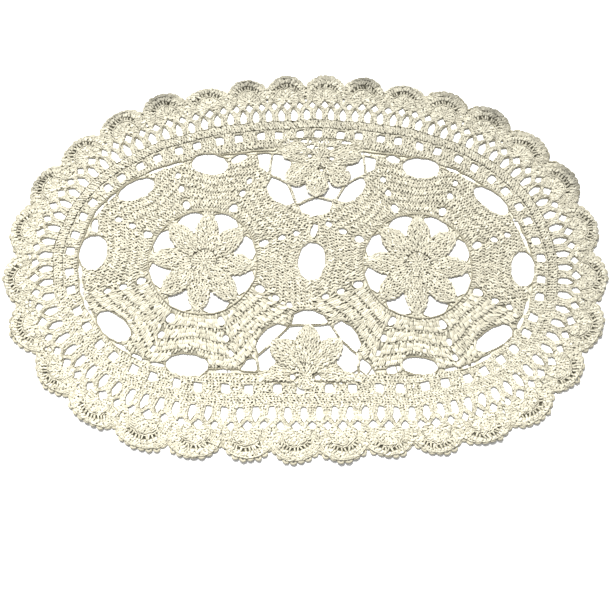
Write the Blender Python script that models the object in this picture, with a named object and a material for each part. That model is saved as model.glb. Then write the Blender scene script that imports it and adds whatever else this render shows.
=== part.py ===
"""Oval crochet table runner, laid flat: two round flower medallions side by side, half a
flower in the gap above and below them, and a wide border of slots, loops and 32 shells.

All sizes are in millimetres in the plane of the cloth, X along the runner and Y across it;
MM turns them into Blender's metres. Angles are in degrees, anticlockwise from +X.
"""
import math
from collections import namedtuple

import bmesh
import bpy
import numpy as np
from mathutils import Vector
from mathutils.geometry import delaunay_2d_cdt

MM = 0.001

# Thickness of the crochet at its gaps and edges, and at the tops of its relief.
EDGE_THICK = 1.9
POST_THICK = 2.5
GROOVE_THICK = 2.0
RIDGE_THICK = 2.9
PETAL_THICK = 3.2
RELIEF_CLEARANCE = 1.7

# The border follows uneven ovals: the one through the tall slots, and the chain ring inside it.
Oval = namedtuple("Oval", "half_length half_width corner_x corner_y centre_y")
SLOT_OVAL = Oval(246.7, 173.1, 11.6, 16.4, -2.0)
RING_OVAL = Oval(219.2, 128.3, 4.6, 14.1, -3.6)
OVAL_CENTRE_X = 2.6
OVAL_LEAN = 2.4
OVAL_SLANT_COS = 3.7
OVAL_SLANT_SIN = 5.8
OVAL_SAG = 2.6

# Border rows, as distances outwards from the middle of the slots.
SHELLS = 32
LOOPS_PER_SHELL = 3
LOOPS = SHELLS * LOOPS_PER_SHELL
FILET_PAIRS = 29
FILET_START = -0.002
FILET_NEXT = 0.0155
FILET_ROW = -23.6
RING_POINTS = 60
BAND_ROWS = ((-9.2, RIDGE_THICK), (-12.2, GROOVE_THICK), (-15.4, RIDGE_THICK))
FAN_FOOT = 17.5
SHELL_FULLNESS = 0.6
SHELL_SHARES = (0.0, 0.05, 0.15, 0.3, 0.5, 0.7, 0.85, 0.95)

# The shells are uneven: the cusp before each one, and its crest, as the same distances.
Shell = namedtuple("Shell", "cusp crest")
SHELL_ROW = (
    Shell(28.0, 39.8), Shell(30.0, 43.8), Shell(34.8, 45.2), Shell(33.5, 44.8),
    Shell(35.0, 45.5), Shell(34.5, 41.8), Shell(30.0, 43.0), Shell(34.5, 45.8),
    Shell(33.0, 43.5), Shell(31.5, 41.8), Shell(29.8, 40.0), Shell(32.0, 43.5),
    Shell(31.8, 42.2), Shell(29.8, 39.2), Shell(29.8, 39.2), Shell(31.5, 40.5),
    Shell(30.0, 39.8), Shell(28.2, 42.0), Shell(27.0, 39.8), Shell(30.5, 41.0),
    Shell(32.0, 43.8), Shell(32.5, 43.8), Shell(27.2, 42.0), Shell(31.2, 45.5),
    Shell(34.8, 44.0), Shell(31.8, 39.8), Shell(27.8, 40.2), Shell(29.8, 39.5),
    Shell(31.8, 42.2), Shell(29.5, 39.8), Shell(30.2, 41.8), Shell(29.5, 40.5),
)

SLOT_INNER = -6.4
SLOT_WAIST = 1.6
SLOT_TIP = 7.2
SLOT_HALF_FOOT = 1.7
SLOT_HALF_WAIST = 2.5
DIAMOND_INNER = 5.2
DIAMOND_MIDDLE = 10.2
DIAMOND_OUTER = 15.0
DIAMOND_HALF = 3.9
SIDE_DIAMOND = 0.82
FILET_HALF_DEEP = 3.0
FILET_HALF_WIDE = 2.7

# Round gaps inside the ring: the eye between the medallions with the slit above it, ten eyes
# at the medallions' outer edges, and the widest of the slits beside them.
RoundGap = namedtuple("RoundGap", "x y length width tilt")
ROUND_GAPS = (
    RoundGap(5.6, -6.6, 38.5, 26.5, 90),
    RoundGap(8.0, 26.0, 14.0, 5.0, 74),
    RoundGap(-212.9, -2.9, 37.0, 27.0, 92),
    RoundGap(-175.7, 65.7, 40.0, 20.0, 27),
    RoundGap(-102.4, 96.2, 38.0, 22.5, 0),
    RoundGap(116.9, 98.1, 38.0, 22.0, -3),
    RoundGap(187.4, 63.0, 41.0, 19.0, -40),
    RoundGap(215.4, -9.4, 36.0, 22.5, 91),
    RoundGap(183.7, -79.9, 39.5, 18.5, 32),
    RoundGap(111.3, -108.4, 34.0, 15.5, -5),
    RoundGap(-110.3, -113.3, 41.0, 20.0, -3),
    RoundGap(-184.6, -77.8, 40.0, 21.5, -38),
    RoundGap(-214.0, 26.0, 15.0, 5.0, 91),
    RoundGap(-72.0, 104.0, 19.0, 9.0, 23),
    RoundGap(88.0, 107.0, 15.0, 6.5, -16),
    RoundGap(86.0, -113.0, 13.5, 6.0, 13),
)
EYE_SIDES = 12
SLIT_SIDES = 6
SLIT_WIDTH = 10.0
ROUND_GAP_POWER = 2.3

# Whole flowers and the sectors of dense rows round them.
Medallion = namedtuple("Medallion", "x y turn")
MEDALLIONS = (Medallion(-102.3, -9.7, -3.0), Medallion(111.4, -7.8, -2.0))
PETALS = 8
PETAL_STEP = 360 / PETALS
PETAL_GAP_SHAPE = ((-14.2, 49.8), (-8.0, 52.2), (0.0, 52.8), (8.0, 52.2), (14.2, 49.8),
                   (9.3, 41.0), (0.0, 33.0), (-9.3, 41.0))
HUB_RADIUS = 8.0
PETAL_AXIS = (18.0, 26.0, 34.0, 42.0)
PETAL_FLANK = (29.0, 13.5)
CHAIN_RING = 56.0
SECTOR_ROW = 8.4
SECTOR_ROWS = 5
SECTOR_STEPS = 32

# Half flowers. The web chain runs through these nodes, from ring to ring: it hooks on the
# medallions' edges at the anchors and on the petals at the tips between them.
HalfFlower = namedtuple("HalfFlower", "x y nodes bows end_bows")
WebNode = namedtuple("WebNode", "angle radius")
Bow = namedtuple("Bow", "radius swell")
HALF_FLOWERS = (
    HalfFlower(10, 109,
               nodes=(WebNode(177, 49), WebNode(206, 54), WebNode(226, 45), WebNode(249, 60),
                      WebNode(268, 46), WebNode(289, 55), WebNode(313, 44), WebNode(337, 53),
                      WebNode(362, 47)),
               bows=(Bow(67, 0.7), Bow(67, 0.7), Bow(61, 0.7)),
               end_bows=(WebNode(180, 64), WebNode(193, 61), WebNode(347, 60), WebNode(359, 60))),
    HalfFlower(3, -114,
               nodes=(WebNode(354, 50), WebNode(377, 52), WebNode(402, 43), WebNode(423, 51),
                      WebNode(449, 42), WebNode(473, 46), WebNode(500, 41), WebNode(526, 49),
                      WebNode(546, 46)),
               bows=(Bow(60, 0.6), Bow(57, 0.7), Bow(54, 0.7)),
               end_bows=(WebNode(357, 66), WebNode(368, 59), WebNode(533, 57), WebNode(542, 64))),
)
WEB_HALF_CHAIN = 1.5
VALLEY_RADIUS = 30.5
PETAL_SHOULDER = (11.0, 36.5)
LYING_VALLEY = 31
LYING_TIP = 37.5
LYING_TURN = 44


def turned(x, y, angle, radius):
    """The point at an angle and a distance from (x, y)."""
    radians = math.radians(angle)
    return np.array((x + radius * math.cos(radians), y + radius * math.sin(radians)))


def oval_point(oval, turn):
    """A point of an uneven oval, at a share of one turn from its +X end."""
    angle = 2 * math.pi * turn
    leant = angle + math.radians(OVAL_LEAN)
    x = (OVAL_CENTRE_X + oval.half_length * math.cos(leant) + oval.corner_x * math.cos(3 * angle)
         - OVAL_SLANT_COS * math.cos(2 * angle) - OVAL_SLANT_SIN * math.sin(2 * angle))
    y = (oval.centre_y + oval.half_width * math.sin(leant) + oval.corner_y * math.sin(3 * angle)
         + OVAL_SAG * math.cos(4 * angle))
    return np.array((x, y))


def border_point(turn, offset, along=0.0):
    """A point of the border, offset outwards from the slots and moved along them."""
    step = 0.0005
    ahead = oval_point(SLOT_OVAL, turn + step) - oval_point(SLOT_OVAL, turn - step)
    ahead /= np.linalg.norm(ahead)
    outwards = np.array((ahead[1], -ahead[0]))
    return oval_point(SLOT_OVAL, turn) + offset * outwards + along * ahead


def outline():
    """The scalloped edge, one shell after another."""
    points = []
    for index, shell in enumerate(SHELL_ROW):
        next_cusp = SHELL_ROW[(index + 1) % SHELLS].cusp
        for share in SHELL_SHARES:
            base = shell.cusp + (next_cusp - shell.cusp) * share
            swell = math.sin(math.pi * share) ** SHELL_FULLNESS
            offset = base + (shell.crest - base) * swell
            points.append(border_point((index + share) / SHELLS, offset))
    return points


def slots():
    """Tall slots between the groups of posts, pointed where two loops meet."""
    shape = ((SLOT_INNER, SLOT_HALF_FOOT), (SLOT_WAIST, SLOT_HALF_WAIST), (SLOT_TIP, 0),
             (SLOT_WAIST, -SLOT_HALF_WAIST), (SLOT_INNER, -SLOT_HALF_FOOT))
    return [[border_point(loop / LOOPS, offset, along) for offset, along in shape]
            for loop in range(LOOPS)]


def diamonds():
    """One gap in each chain loop, the middle one of every shell the largest."""
    gaps = []
    for loop in range(LOOPS):
        size = 1.0 if loop % LOOPS_PER_SHELL == 1 else SIDE_DIAMOND
        half = DIAMOND_HALF * size
        inner = DIAMOND_MIDDLE - (DIAMOND_MIDDLE - DIAMOND_INNER) * size
        outer = DIAMOND_MIDDLE + (DIAMOND_OUTER - DIAMOND_MIDDLE) * size
        shape = ((inner, 0), (DIAMOND_MIDDLE, -half), (outer, 0), (DIAMOND_MIDDLE, half))
        gaps.append([border_point((loop + 0.5) / LOOPS, offset, along) for offset, along in shape])
    return gaps


def filet_gaps():
    """The row of small square gaps inside the dense band, set in pairs."""
    corners = ((-1, -1), (1, -1), (1, 1), (-1, 1))
    gaps = []
    for pair in range(FILET_PAIRS):
        start = FILET_START + pair / FILET_PAIRS
        for turn in (start, start + FILET_NEXT):
            gaps.append([border_point(turn, FILET_ROW + FILET_HALF_DEEP * deep,
                                      FILET_HALF_WIDE * wide) for deep, wide in corners])
    return gaps


def round_gap(gap):
    """A rounded gap: a slightly squared ellipse."""
    tilt = math.radians(gap.tilt)
    sides = EYE_SIDES if gap.width > SLIT_WIDTH else SLIT_SIDES
    points = []
    for side in range(sides):
        angle = 2 * math.pi * (side + 0.5) / sides
        cosine, sine = math.cos(angle), math.sin(angle)
        fullness = (abs(cosine) ** ROUND_GAP_POWER + abs(sine) ** ROUND_GAP_POWER)
        reach = fullness ** (-1 / ROUND_GAP_POWER)
        along = 0.5 * gap.length * reach * cosine
        across = 0.5 * gap.width * reach * sine
        points.append(np.array((gap.x + along * math.cos(tilt) - across * math.sin(tilt),
                                gap.y + along * math.sin(tilt) + across * math.cos(tilt))))
    return points


def petal_gaps(medallion):
    """The eight gaps between a whole flower's petals and the chain ring round it."""
    gaps = []
    for petal in range(PETALS):
        middle = medallion.turn + PETAL_STEP * (petal + 0.5)
        gaps.append([turned(medallion.x, medallion.y, middle + angle, radius)
                     for angle, radius in PETAL_GAP_SHAPE])
    return gaps


def web_gaps(flower):
    """The gaps on both sides of a half flower's web chain."""
    end_a, anchors, tips, end_b = (flower.nodes[0], flower.nodes[1:-1:2],
                                   flower.nodes[2:-1:2], flower.nodes[-1])
    chain = WEB_HALF_CHAIN

    def at(angle, radius):
        return turned(flower.x, flower.y, angle, radius)

    gaps = []
    for anchor, tip, after, bow in zip(anchors, tips, anchors[1:], flower.bows):
        gap = [at(anchor.angle + 3, anchor.radius - 0.5)]
        for share in (0.2, 0.4, 0.6, 0.8):
            edge = anchor.radius + (after.radius - anchor.radius) * share
            swell = math.sin(math.pi * share) ** bow.swell
            gap.append(at(anchor.angle + (after.angle - anchor.angle) * share,
                          edge + (bow.radius - edge) * swell))
        gap += [at(after.angle - 3, after.radius - 0.5), at(tip.angle, tip.radius + chain)]
        gaps.append(gap)
    shoulder_angle, shoulder_radius = PETAL_SHOULDER
    for before, anchor, tip in zip(tips, anchors[1:], tips[1:]):
        gaps.append([at(before.angle + 4, before.radius - chain),
                     at(anchor.angle, anchor.radius - 2 * chain),
                     at(tip.angle - 4, tip.radius - chain),
                     at(tip.angle - shoulder_angle, shoulder_radius),
                     at((before.angle + tip.angle) / 2, VALLEY_RADIUS),
                     at(before.angle + shoulder_angle, shoulder_radius)])
    ends = ((end_a, anchors[0], tips[0], flower.end_bows[:2], 1),
            (end_b, anchors[-1], tips[-1], flower.end_bows[:1:-1], -1))
    for end, anchor, tip, (ring_corner, edge), way in ends:
        gaps.append([at(end.angle + 2 * way, end.radius - chain),
                     at(anchor.angle - way, anchor.radius - 1.3 * chain),
                     at(tip.angle - 4 * way, tip.radius - chain),
                     at(tip.angle - shoulder_angle * way, shoulder_radius),
                     at(tip.angle - LYING_VALLEY * way, VALLEY_RADIUS),
                     at(end.angle + 4 * way, LYING_TIP)])
        gaps.append([at(end.angle + 2 * way, end.radius + chain),
                     at(ring_corner.angle, ring_corner.radius),
                     at(edge.angle, edge.radius),
                     at(anchor.angle - 3 * way, anchor.radius + chain)])
    return gaps


def all_gaps():
    """Every gap that is cut through the cloth, as a loop of points."""
    gaps = slots() + diamonds() + filet_gaps()
    gaps += [round_gap(gap) for gap in ROUND_GAPS]
    for medallion in MEDALLIONS:
        gaps += petal_gaps(medallion)
    for flower in HALF_FLOWERS:
        gaps += web_gaps(flower)
    return gaps


def border_relief():
    """Raised posts, rows, chain ring and shells of the border, as points with a thickness."""
    points = []
    for loop in range(LOOPS):
        middle = (loop + 0.5) / LOOPS
        points.append((border_point(middle, 0), POST_THICK))
        for offset, thick in BAND_ROWS:
            points.append((border_point(middle, offset), thick))
    for pair in range(FILET_PAIRS):
        between = FILET_START + FILET_NEXT / 2 + pair / FILET_PAIRS
        for turn in (between, between + 0.5 / FILET_PAIRS):
            points.append((border_point(turn, FILET_ROW), POST_THICK))
    for step in range(RING_POINTS):
        points.append((oval_point(RING_OVAL, step / RING_POINTS), RIDGE_THICK))
    for shell in range(SHELLS):
        middle = (shell + 0.5) / SHELLS
        for radius, thick in ((8.5, RIDGE_THICK), (14.0, GROOVE_THICK), (19.0, POST_THICK)):
            for angle in (-72, -36, 0, 36, 72):
                lean = math.radians(angle)
                points.append((border_point(middle, FAN_FOOT + radius * math.cos(lean),
                                            radius * math.sin(lean)), thick))
    return points


def flower_relief(x, y, petal_angles):
    """The hub and the domed petals of a whole or a half flower."""
    points = [((x, y), POST_THICK)]
    for angle in petal_angles:
        points.append((turned(x, y, angle + PETAL_STEP / 2, HUB_RADIUS), GROOVE_THICK))
        for radius in PETAL_AXIS:
            points.append((turned(x, y, angle, radius), PETAL_THICK))
        radius, side = PETAL_FLANK
        for way in (-side, side):
            points.append((turned(x, y, angle + way, radius), POST_THICK))
    return points


def sector_relief(medallion):
    """The chain ring and the ridged rows of the sectors round a whole flower."""
    points = []
    for step in range(SECTOR_STEPS):
        angle = medallion.turn + 360 * (step + 0.5) / SECTOR_STEPS
        points.append((turned(medallion.x, medallion.y, angle, CHAIN_RING), RIDGE_THICK))
        for row in range(SECTOR_ROWS):
            ridge = CHAIN_RING + SECTOR_ROW * (row + 1)
            groove = ridge - SECTOR_ROW / 2
            points.append((turned(medallion.x, medallion.y, angle, groove), GROOVE_THICK))
            points.append((turned(medallion.x, medallion.y, angle, ridge), RIDGE_THICK))
    return points


def all_relief():
    """Every raised or sunk point of the top face."""
    points = border_relief()
    for medallion in MEDALLIONS:
        angles = [medallion.turn + PETAL_STEP * petal for petal in range(PETALS)]
        points += flower_relief(medallion.x, medallion.y, angles)
        points += sector_relief(medallion)
    for flower in HALF_FLOWERS:
        tips = [node.angle for node in flower.nodes[2:-1:2]]
        lying = [tips[0] - LYING_TURN, tips[-1] + LYING_TURN]
        points += flower_relief(flower.x, flower.y, tips + lying)
    return points


def segments(loops):
    """Start and end points of every edge of the closed loops."""
    starts = np.array([point for loop in loops for point in loop])
    ends = np.array([point for loop in loops for point in np.roll(loop, -1, axis=0)])
    return starts, ends


def on_cloth(points, loops):
    """Which points lie on material: inside the outline and outside every gap."""
    starts, ends = segments(loops)
    x, y = points[:, :1], points[:, 1:]
    spans = (starts[:, 1] > y) != (ends[:, 1] > y)
    rise = np.where(ends[:, 1] == starts[:, 1], 1e-9, ends[:, 1] - starts[:, 1])
    crossing = starts[:, 0] + (y - starts[:, 1]) * (ends[:, 0] - starts[:, 0]) / rise
    return (spans & (x < crossing)).sum(axis=1) % 2 == 1


def edge_distance(points, loops):
    """Distance of each point from the nearest edge of the cloth."""
    starts, ends = segments(loops)
    run = ends - starts
    from_start = points[:, None] - starts[None]
    share = np.clip((from_start * run).sum(axis=2) / (run ** 2).sum(axis=1), 0, 1)
    return np.linalg.norm(from_start - share[..., None] * run, axis=2).min(axis=1)


def thinned(relief, loops):
    """Relief points that lie on the cloth, clear of its edges and of one another."""
    places = np.array([place for place, thick in relief])
    kept = on_cloth(places, loops) & (edge_distance(places, loops) > RELIEF_CLEARANCE)
    chosen = []
    for index in np.flatnonzero(kept):
        near = [np.linalg.norm(places[index] - places[other]) for other in chosen]
        if not near or min(near) > RELIEF_CLEARANCE:
            chosen.append(index)
    return [relief[index] for index in chosen]


def triangles(points, loops):
    """Triangles between the points that cover the cloth and leave its gaps open."""
    edges = []
    first = 0
    for loop in loops:
        edges += [(first + i, first + (i + 1) % len(loop)) for i in range(len(loop))]
        first += len(loop)
    flat = [Vector(point) for point in points]
    placed, _, faces, _, _, _ = delaunay_2d_cdt(flat, edges, [], 0, 1e-6)
    if len(placed) != len(points):
        raise ValueError("two edges of the cloth cross or touch")
    middles = np.array([np.mean([points[v] for v in face], axis=0) for face in faces])
    keep = on_cloth(middles, loops)
    return [face for face, inside in zip(faces, keep) if inside], edges


def cloth_mesh():
    """The closed sheet: a flat underside, a top in relief, and walls round every gap."""
    loops = [np.array(loop) for loop in [outline()] + all_gaps()]
    rim = [point for loop in loops for point in loop]
    relief = thinned(all_relief(), loops)
    top_points = rim + [place for place, thick in relief]
    thickness = [EDGE_THICK] * len(rim) + [thick for place, thick in relief]
    top_faces, edges = triangles(top_points, loops)
    under_faces, _ = triangles(rim, loops)

    mesh = bmesh.new()
    top = [mesh.verts.new((x * MM, y * MM, thick * MM))
           for (x, y), thick in zip(top_points, thickness)]
    under = [mesh.verts.new((x * MM, y * MM, 0)) for x, y in rim]
    for face in top_faces:
        mesh.faces.new([top[v] for v in face])
    for face in under_faces:
        mesh.faces.new([under[v] for v in reversed(face)])
    for a, b in edges:
        mesh.faces.new((under[a], under[b], top[b]))
        mesh.faces.new((under[a], top[b], top[a]))
    bmesh.ops.recalc_face_normals(mesh, faces=mesh.faces)
    data = bpy.data.meshes.new("runner")
    mesh.to_mesh(data)
    mesh.free()
    return data


def yarn_material():
    """Natural, undyed cotton yarn."""
    material = bpy.data.materials.new("natural_cotton")
    material.use_nodes = True
    shader = material.node_tree.nodes["Principled BSDF"]
    shader.inputs["Base Color"].default_value = (0.86, 0.82, 0.67, 1)
    shader.inputs["Roughness"].default_value = 0.9
    shader.inputs["Metallic"].default_value = 0.0
    return material


def build():
    for old in list(bpy.data.objects):
        bpy.data.objects.remove(old, do_unlink=True)
    runner = bpy.data.objects.new("runner", cloth_mesh())
    runner.data.materials.append(yarn_material())
    bpy.context.scene.collection.objects.link(runner)


build()
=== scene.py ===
"""Looks of the oval crochet table runner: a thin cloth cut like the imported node, and on it the
stitches themselves, worked in closed strands of yarn row by row.

Sizes are in millimetres, X along the runner and Y across it, until mesh_piece() turns them into
Blender's metres. Angles are in degrees, anticlockwise from +X. A place on the border is a share
of one turn round the oval of the tall slots, and an offset outwards from it.
"""

import math
from collections import namedtuple

import bpy
import numpy as np
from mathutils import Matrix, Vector
from mathutils.geometry import delaunay_2d_cdt


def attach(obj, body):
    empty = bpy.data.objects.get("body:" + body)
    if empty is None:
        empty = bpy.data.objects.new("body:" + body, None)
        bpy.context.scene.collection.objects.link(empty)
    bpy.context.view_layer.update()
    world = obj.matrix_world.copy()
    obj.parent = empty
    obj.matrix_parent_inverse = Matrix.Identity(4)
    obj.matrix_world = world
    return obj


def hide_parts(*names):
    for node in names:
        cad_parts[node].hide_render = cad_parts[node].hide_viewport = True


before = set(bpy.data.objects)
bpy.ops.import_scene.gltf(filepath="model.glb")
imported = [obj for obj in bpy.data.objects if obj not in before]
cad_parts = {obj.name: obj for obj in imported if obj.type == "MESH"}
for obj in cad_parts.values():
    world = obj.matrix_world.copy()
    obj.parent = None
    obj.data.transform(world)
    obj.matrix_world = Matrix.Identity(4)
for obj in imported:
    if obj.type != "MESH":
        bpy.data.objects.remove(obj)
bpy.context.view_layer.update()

MM = 0.001
DRAWS = np.random.default_rng(7)

# The border's ovals.
Oval = namedtuple("Oval", "half_length half_width corner_x corner_y centre_y")
SLOT_OVAL = Oval(246.7, 173.1, 11.6, 16.4, -2.0)
RING_OVAL = Oval(219.2, 128.3, 4.6, 14.1, -3.6)
OVAL_CENTRE_X = 2.6
OVAL_LEAN = 2.4
OVAL_SLANT_COS = 3.7
OVAL_SLANT_SIN = 5.8
OVAL_SAG = 2.6

# Border rows.
SHELLS = 32
LOOPS = 96
FAN_FOOT = 15.5
SHELL_START = 17.0
POST_OFFSETS = (-7.4, -4.6, -1.8, 1.2, 4.0, 6.6)
POST_REACHES = (6.2, 5.2, 4.6, 4.2, 4.4, 5.2)
LOOP_LOW = 3.9
LOOP_RISE = 7.2
LOOP_JOIN_AT = np.array((-0.16, -0.1, 0.0, 0.1, 0.16))
LOOP_JOIN_OFFSETS = (8.6, 9.6, 10.6, 9.6, 8.6)
BAND_ROWS = (-16.6, -14.0, -11.4, -8.8)
BAND_GROOVES = (-17.3, -8.0)
GROOVE_REACH = 1.1
GROOVE_END = -40
BAND_LIFTS = (0.05, 0.4)
FILET_ROWS = (-28.2, -25.6, -23.0, -20.5, -18.0)
BASE_ROW = -28.2
INNER_ROWS = 3
INNER_ROW = 3.0
CLEAR_OF_RING = 2.5
RING_CORDS = ((-2.1, 0.2), (2.1, 0.3))
RING_CORD = 0.78
BAY_DEPTH = 12.0
BAY_SHOULDER = 14.0

# Flowers and the sectors round them.
Medallion = namedtuple("Medallion", "x y turn hub_lift")
MEDALLIONS = (Medallion(-102.3, -9.7, -3.0, -0.6), Medallion(111.4, -7.8, -2.0, 0.0))
MEETING_X = 4.6
PETALS = 8
PETAL_STEP = 360 / PETALS
PETAL_WIDEST = 31.0
PETAL_START = 12.2
PETAL_ROW = 2.8
PETAL_DOME = 0.9
PETAL_BOW = 2.6
TIP_REACH = 50.0
STEM_ROWS = ((48.0, 50.8), (50.8, 53.6))
STEM_HALF = 5.5
FILL_ROWS = 12
RING_RADIUS = 54.2
SECTOR_START = 55.6
SECTOR_REACH = 66.0
PEAKS_AT = (0.0, 8.3, 16.6, 24.9, 33.2, 41.5, 66.0)
SECTOR_PEAK = (0.0, 4.5, 8.5, 11.5, 13.5, 15.5, 20.0)

HUB_LINES = (1.0, 3.8, 6.5, 9.3, 12.0)
HUB_LIFTS = (0.4, 0.5, 0.5, 0.4)
HUB_STITCHES = 6
HUB_GROOVE = (12.0, 12.8)

# The half flowers. Each petal that lies along the band is an angle and a reach.
SmallHole = namedtuple("SmallHole", "x y length width tilt")
HalfFlower = namedtuple("HalfFlower", "x y reach root_x root_y lying holes web_angles web_radii")
HALF_FLOWERS = (
    HalfFlower(10, 109, 47, root_x=12, root_y=105,
               lying=((169, 42), (4, 42)),
               holes=(SmallHole(-11, 4, 4.4, 3.8, 0), SmallHole(12, 2, 4.6, 4.2, 0),
                      SmallHole(1, -11, 3.4, 2.8, 0), SmallHole(-8, 14, 12, 3.2, 2),
                      SmallHole(12, 13.8, 10, 3.4, 4)),
               web_angles=(177, 206, 226, 249, 268, 289, 313, 337, 362),
               web_radii=(49, 54, 45, 60, 46, 55, 44, 53, 47)),
    HalfFlower(3, -114, 46, root_x=3, root_y=-121,
               lying=((-4, 54), (190, 45)),
               holes=(SmallHole(-12.6, -1, 5.6, 4.6, 0), SmallHole(11.6, -1.1, 5.6, 5, 0)),
               web_angles=(354, 377, 402, 423, 449, 473, 500, 526, 546),
               web_radii=(50, 52, 43, 51, 42, 46, 41, 49, 46)),
)

# The stretch of sectors worked in tall posts, counted from a flower's turn.
SPARSE_FROM = 202.5
SPARSE_SWEEP = 135

# Small holes that only the stitches leave open.
SectorHole = namedtuple("SectorHole", "radius length width")
SECTOR_HOLES = (SectorHole(63.5, 9.6, 7.4), SectorHole(82.0, 7.6, 5.8),
                SectorHole(97.5, 6.8, 5.4))
RING_SLITS = 60
RING_SLIT_SIZE = (14.0, 2.6)
CUSP_OFFSETS = (14.4, 19.2, 19.2)
CUSP_ALONG = (0.0, 2.1, -2.1)
HOLE_MARGIN = 1.6

# How much wider the stitches leave the gaps than the node has them, and how far they are
# drawn aside to keep clear of them.
SMALL_GAP_ROOM = 0.9
SQUARE_ROOM = 1.7
PETAL_GAP_ROOM = 1.3
WEB_GAP_ROOM = 0.45
WEB_REACH = 68.0
LARGE_GAP = 16.5
HEART_DEPTH = 1.1
BRIM = 1.2
DRAWN_ASIDE = 2.2
STITCH_REACH = 2.3
APART = -0.7
INNER_ELLIPSE = (230.0, 145.0)

# The edge: how the shells curl up, and the small loops along them.
EDGE_CURL = 5.0
NEAR_CURL = 1.6
CURL_SPAN_Y = (-100, 100)
CURL_WIDTH = 22.0
CURL_SPREAD = 0.35
# Painted shade on the shells' curled-up rims, per millimetre they curl beyond the near side.
CURL_PAINTED_SHADE = 0.24
EDGE_SPAN_Y = (-60, 90)
EDGE_INSETS = (2.4, 1.3)
PICOT_PITCH = 7.0
PICOT_REACH = 3.0
PICOT_ALONG = np.array((-0.1, 0.2, 0.5, 0.8, 1.1))
PICOT_OUT = (-0.5, 0.7, 1.0, 0.7, -0.5)
PICOT_HEIGHTS = (1.0, 1.3, 1.4, 1.3, 1.0)
PICOT_RADII = (0.0, 1.6, 1.6, 1.6, 0.0)

# Yarn.
STITCH_PITCH = 2.7
LEAN = 0.45
BAND_LEAN = 0.4
FAN_LEAN = 0.3
TUBE_SIDES = 4
FLATNESS = 0.62
Wander = namedtuple("Wander", "across up height radius lean tint")
WANDER = Wander(across=0.12, up=0.10, height=0.16, radius=0.11, lean=0.36, tint=0.12)
Bead = namedtuple("Bead", "pitch aside rise swell")
BEAD = Bead(pitch=2.7, aside=0.3, rise=0.35, swell=0.40)
CORD_THIN = 0.74
# How much deeper than it lies a cord's painted shade is taken.
CORD_PAINTED_DEPTH = 0.45
LET_DOWN = 0.57

# The cloth under the stitches, and how pale it is at each place: painted shade, deep where the
# stitches stand close, in the shells' open rows and the hubs' grooves, and none in the openwork;
# the underside keeps nearly the cloth's plain tone.
CORE_LOW = 0.75
CORE_HIGH = 1.0
CORE_TUCK = 0.4
CORE_STEP = 5.0
PaintedShades = namedtuple("PaintedShades", "openwork shell open_row ring petals round_petals hub_groove "
                    "sparse underside")
PAINTED_SHADES = PaintedShades(openwork=1.0, shell=0.6, open_row=0.0, ring=0.8, petals=0.35, round_petals=0.8,
                hub_groove=0.2, sparse=0.75, underside=0.8)

# Painted shade on the cotton: the heights between which it brightens out of painted shade, and
# how painted shade greys it over the runner, with painted light at the near edge.
PAINTED_SHADE_LOW = 1.2
PAINTED_SHADE_HIGH = 2.9
PAINTED_FALLOFF_BY_Y = ((-150, -60, 60, 150), (-0.4, 0.0, 0.1, 0.4))
PAINTED_FALLOFF_BY_X = ((-300, 0, 200, 300), (-0.1, 0.05, 0.2, 0.4))
MOST_PAINTED_FALLOFF = 0.5

# The camera: 18 degrees off the vertical from the near side, aimed at the runner's middle.
IMAGE_WIDTH = 612
CENTRE_PIXEL_Y = 255
CAMERA_FOCAL = 750
CAMERA_DISTANCE = 750
CAMERA_TILT = 18
CAMERA_AZIMUTH = 1.5


def unit(vectors):
    """Vectors scaled to length one."""
    return vectors / np.maximum(np.linalg.norm(vectors, axis=-1, keepdims=True), 1e-9)


def right_of(ahead):
    """Directions at right angles to others, on their right."""
    return np.stack((ahead[..., 1], -ahead[..., 0]), axis=-1)


def alternate(row):
    """1 and -1 in turn, row by row."""
    return 1 - 2 * (row % 2)


def oval_points(oval, turns):
    """Points of an uneven oval at shares of one turn."""
    angle = 2 * np.pi * np.asarray(turns, float)
    leant = angle + math.radians(OVAL_LEAN)
    x = (OVAL_CENTRE_X + oval.half_length * np.cos(leant) + oval.corner_x * np.cos(3 * angle)
         - OVAL_SLANT_COS * np.cos(2 * angle) - OVAL_SLANT_SIN * np.sin(2 * angle))
    y = (oval.centre_y + oval.half_width * np.sin(leant) + oval.corner_y * np.sin(3 * angle)
         + OVAL_SAG * np.cos(4 * angle))
    return np.stack((x, y), axis=-1)


def border_points(turns, offsets, along=0.0):
    """Points of the border at these turns, moved outwards and along the oval."""
    turns = np.asarray(turns, float)
    step = 0.0005
    ahead = unit(oval_points(SLOT_OVAL, turns + step) - oval_points(SLOT_OVAL, turns - step))
    offsets = np.asarray(offsets, float)[..., None]
    along = np.asarray(along, float)[..., None]
    return oval_points(SLOT_OVAL, turns) + offsets * right_of(ahead) + along * ahead


OVAL_TURNS = np.arange(1200) / 1200
OVAL_TRACK = oval_points(SLOT_OVAL, OVAL_TURNS)
OVAL_LENGTH = np.linalg.norm(np.roll(OVAL_TRACK, -1, axis=0) - OVAL_TRACK, axis=1).sum()


def polar(place, angles, radii):
    """Points at angles and distances round a flower's centre."""
    radians = np.radians(np.asarray(angles, float))
    return np.stack((place.x + radii * np.cos(radians), place.y + radii * np.sin(radians)),
                    axis=-1)


def strip(near, far):
    """Cells between two lines of points."""
    return np.stack((near[:-1], near[1:], far[1:], far[:-1]), axis=1)


def round_row(place, angles, low, high):
    """Cells between two distances from a flower's centre."""
    return strip(polar(place, angles, low), polar(place, angles, high))


def run_of(track):
    """How far along a track of points each of them lies."""
    return np.concatenate(([0], np.linalg.norm(np.diff(track, axis=0), axis=1).cumsum()))


def points_along(track, run, at):
    """Points of a track at these distances along it."""
    return np.stack([np.interp(at, run, track[:, axis]) for axis in range(2)], axis=-1)


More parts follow.
